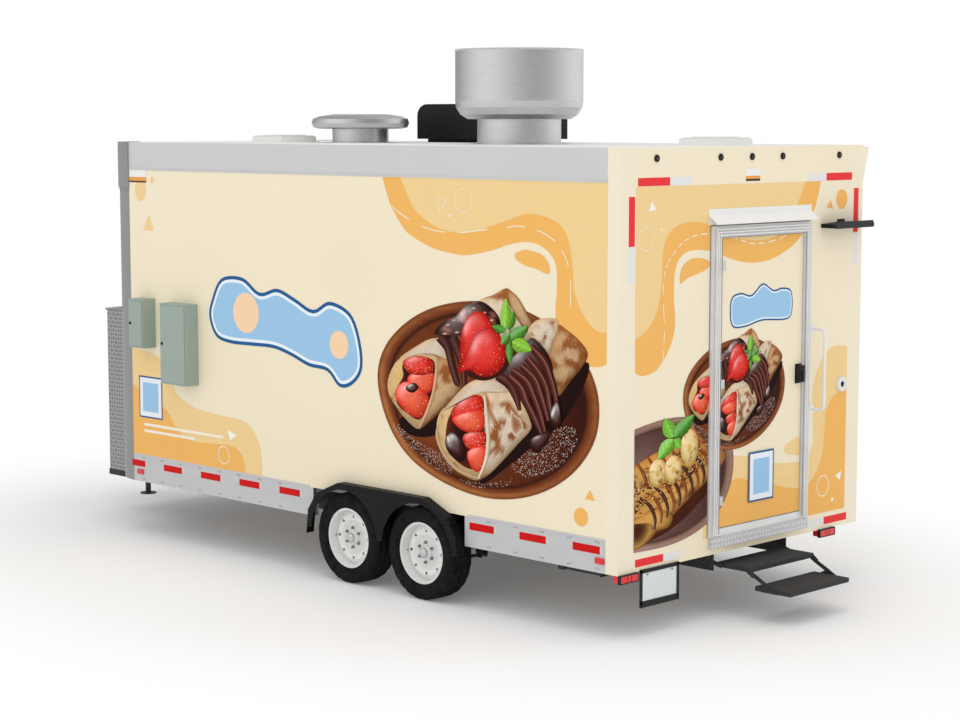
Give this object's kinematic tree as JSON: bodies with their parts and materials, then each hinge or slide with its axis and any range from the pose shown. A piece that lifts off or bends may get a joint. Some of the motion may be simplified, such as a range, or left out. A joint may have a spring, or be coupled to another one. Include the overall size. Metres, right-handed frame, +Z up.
{
  "type": "food trailer",
  "caption": "Two-axle food trailer with a box body, rear entry door with folding steps, lift-up serving hatch, roof exhaust, tongue jack and ball coupler.",
  "frame": {"origin": "on the ground, under the middle of the trailer as it stands with the steps out", "axes": "+X forward towards the coupler, +Y towards the street side, +Z up"},
  "size_m": [7.225, 2.783, 3.789],
  "materials": {
    "painted_steel_frame": "satin black paint",
    "zinc_plated_steel": "satin",
    "floor_plywood": "sealed",
    "black_tread_plate": "black painted tread plate",
    "mill_aluminium": "mill",
    "bright_tread_plate": "tread plate",
    "printed_panel": "gloss printed film",
    "cream_painted_aluminium": "gloss",
    "grey_painted_aluminium": "satin",
    "white_roof_membrane": "matt",
    "white_painted_aluminium": "gloss",
    "white_plastic": "moulded",
    "black_plastic": "moulded",
    "red_lens": "gloss",
    "plate_enamel": "gloss",
    "sage_painted_steel": "satin",
    "stainless_steel": "satin",
    "tyre_rubber": "moulded",
    "white_wheel_enamel": "gloss",
    "step_grip_steel": "gritty black paint"
  },
  "bodies": {
    "trailer": {"frame_rails": "painted_steel_frame", "cross_members": "painted_steel_frame", "tongue_rails": "painted_steel_frame", "coupler": "painted_steel_frame", "tongue_jack": "zinc_plated_steel", "axles": "painted_steel_frame", "leaf_springs": "painted_steel_frame", "floor": "floor_plywood", "wheel_wells": "painted_steel_frame", "fenders": "black_tread_plate", "side_skirts": "mill_aluminium", "street_wall": "printed_panel", "curb_wall": "printed_panel", "nose_wall": "grey_painted_aluminium", "rear_wall": "printed_panel", "roof": "white_roof_membrane", "top_rails": "grey_painted_aluminium", "front_corner_posts": "grey_painted_aluminium", "rear_corner_posts": "cream_painted_aluminium", "door_frame": "mill_aluminium", "door_drip_cap": "white_painted_aluminium", "threshold_plate": "bright_tread_plate", "grab_handle": "white_painted_aluminium", "water_inlet": "white_plastic", "rear_floodlight": "black_plastic", "tail_lights": "red_lens", "licence_plate": "plate_enamel", "step_bracket": "painted_steel_frame", "electrical_boxes": "sage_painted_steel", "exhaust_bowl": "stainless_steel", "exhaust_motor": "stainless_steel", "mushroom_vent": "stainless_steel", "air_conditioner": "black_plastic", "roof_vents": "white_plastic", "service_window": "mill_aluminium", "hatch_hood": "cream_painted_aluminium", "front_box": "bright_tread_plate"},
    "wheel_body_front_street": {"tyre_front_street": "tyre_rubber", "wheel_front_street": "white_wheel_enamel"},
    "wheel_body_front_curb": {"tyre_front_curb": "tyre_rubber", "wheel_front_curb": "white_wheel_enamel"},
    "wheel_body_rear_street": {"tyre_rear_street": "tyre_rubber", "wheel_rear_street": "white_wheel_enamel"},
    "wheel_body_rear_curb": {"tyre_rear_curb": "tyre_rubber", "wheel_rear_curb": "white_wheel_enamel"},
    "door": {"entry_door": "printed_panel"},
    "hatch": {"serving_hatch": "printed_panel"},
    "shelf": {"serving_shelf": "mill_aluminium"},
    "step_arm_pair": {"step_arms": "painted_steel_frame"},
    "upper_step": {"step_upper": "step_grip_steel"},
    "step_link_pair": {"step_links": "step_grip_steel"},
    "lower_step": {"step_lower": "step_grip_steel"},
    "leg_street": {"stabiliser_street": "painted_steel_frame"},
    "leg_curb": {"stabiliser_curb": "painted_steel_frame"},
    "box_lid": {"front_box_lid": "bright_tread_plate"}
  },
  "joints": [
    {"name": "front_street_wheel_spin", "type": "hinge", "parent": "trailer", "child": "wheel_body_front_street", "pos_m": [-0.572, 1.233, 0.326], "axis": [0, 1, 0], "continuous": true},
    {"name": "front_curb_wheel_spin", "type": "hinge", "parent": "trailer", "child": "wheel_body_front_curb", "pos_m": [-0.572, -1.233, 0.326], "axis": [0, 1, 0], "continuous": true},
    {"name": "rear_street_wheel_spin", "type": "hinge", "parent": "trailer", "child": "wheel_body_rear_street", "pos_m": [-1.321, 1.233, 0.326], "axis": [0, 1, 0], "continuous": true},
    {"name": "rear_curb_wheel_spin", "type": "hinge", "parent": "trailer", "child": "wheel_body_rear_curb", "pos_m": [-1.321, -1.233, 0.326], "axis": [0, 1, 0], "continuous": true},
    {"name": "entry_door_swing", "type": "hinge", "parent": "trailer", "child": "door", "pos_m": [-3.1135, 0.323, 1.5615], "axis": [0, 0, -1], "range_deg": [0, 110]},
    {"name": "serving_hatch_lift", "type": "hinge", "parent": "trailer", "child": "hatch", "pos_m": [-0.3855, -1.3155, 2.644], "axis": [-1, 0, 0], "range_deg": [0, 90]},
    {"name": "serving_shelf_lift", "type": "hinge", "parent": "trailer", "child": "shelf", "pos_m": [-0.3855, -1.3175, 1.496], "axis": [-1, 0, 0], "range_deg": [0, 90]},
    {"name": "steps_fold", "type": "hinge", "parent": "trailer", "child": "step_arm_pair", "pos_m": [-2.9255, -0.132, 0.3729], "axis": [0, -1, 0], "range_deg": [0, 153.8]},
    {"name": "upper_step_level", "type": "hinge", "parent": "step_arm_pair", "child": "upper_step", "pos_m": [-3.07549, -0.132, 0.338], "axis": [0, 1, 0], "range_deg": [0, 153.8]},
    {"name": "step_link_swing", "type": "hinge", "parent": "upper_step", "child": "step_link_pair", "pos_m": [-3.3305, -0.132, 0.303], "axis": [0, -1, 0], "range_deg": [0, 126.09]},
    {"name": "lower_step_level", "type": "hinge", "parent": "step_link_pair", "child": "lower_step", "pos_m": [-3.4405, -0.132, 0.247], "axis": [0, 1, 0], "range_deg": [0, 126.09]},
    {"name": "street_stabiliser_drop", "type": "hinge", "parent": "trailer", "child": "leg_street", "pos_m": [-2.5255, 1.1835, 0.399], "axis": [0, -1, 0], "range_deg": [0, 85]},
    {"name": "curb_stabiliser_drop", "type": "hinge", "parent": "trailer", "child": "leg_curb", "pos_m": [-2.5255, -1.1835, 0.399], "axis": [0, -1, 0], "range_deg": [0, 85]},
    {"name": "front_box_lid_lift", "type": "hinge", "parent": "trailer", "child": "box_lid", "pos_m": [2.4165, 0, 1.778], "axis": [0, -1, 0], "range_deg": [0, 70]}
  ],
  "couplings": [
    {"joint": "upper_step_level", "follows": "steps_fold", "ratio": 1},
    {"joint": "step_link_swing", "follows": "steps_fold", "ratio": 0.8195},
    {"joint": "lower_step_level", "follows": "steps_fold", "ratio": 0.8195}
  ]
}
